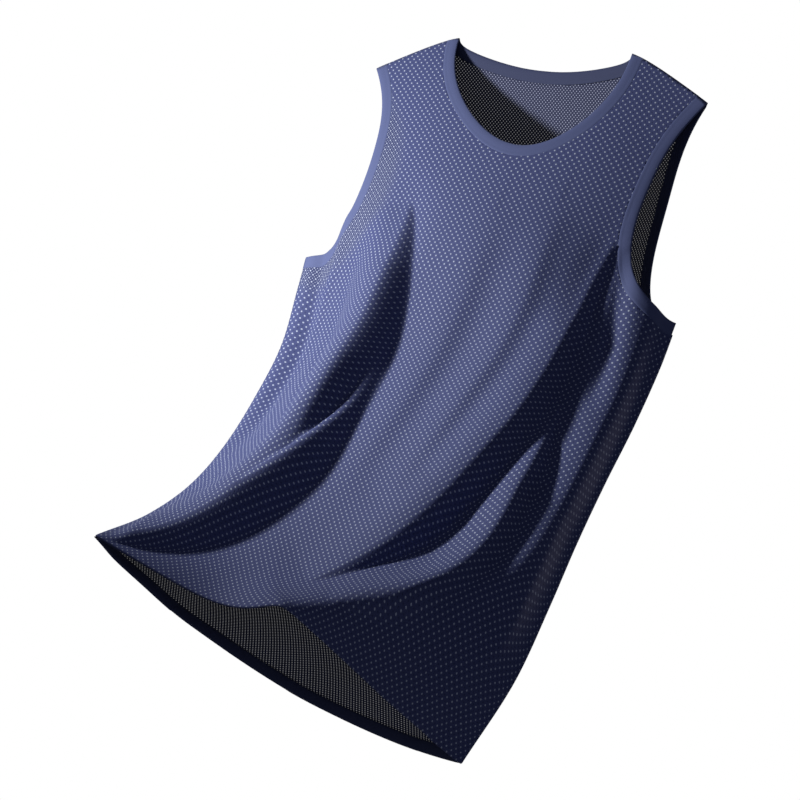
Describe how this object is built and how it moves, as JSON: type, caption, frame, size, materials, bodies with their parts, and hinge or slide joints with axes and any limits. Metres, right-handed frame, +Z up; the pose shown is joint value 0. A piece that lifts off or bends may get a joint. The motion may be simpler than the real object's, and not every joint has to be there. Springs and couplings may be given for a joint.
{
  "type": "mesh tank top",
  "caption": "Sleeveless mesh tank top, filled out as if worn, with a round bound neck, bound armholes and a hem that swings forward and lifts in the middle.",
  "frame": {"origin": "midway between the two points where the shoulder seams meet the neck", "axes": "+Z up along the wearer's spine, the front faces -Y, +X is the wearer's left"},
  "size_m": [0.4162, 0.3111, 0.7217],
  "materials": {
    "mesh_cloth": "soft knitted polyester mesh with small pale dots",
    "band_cloth": "plain fine knit, matt"
  },
  "bodies": {
    "root": {"front_panel": "mesh_cloth", "back_panel": "mesh_cloth", "front_hem_turning": "band_cloth", "back_hem_turning": "band_cloth", "neck_binding": "band_cloth", "left_armhole_binding": "band_cloth", "right_armhole_binding": "band_cloth"}
  },
  "joints": []
}
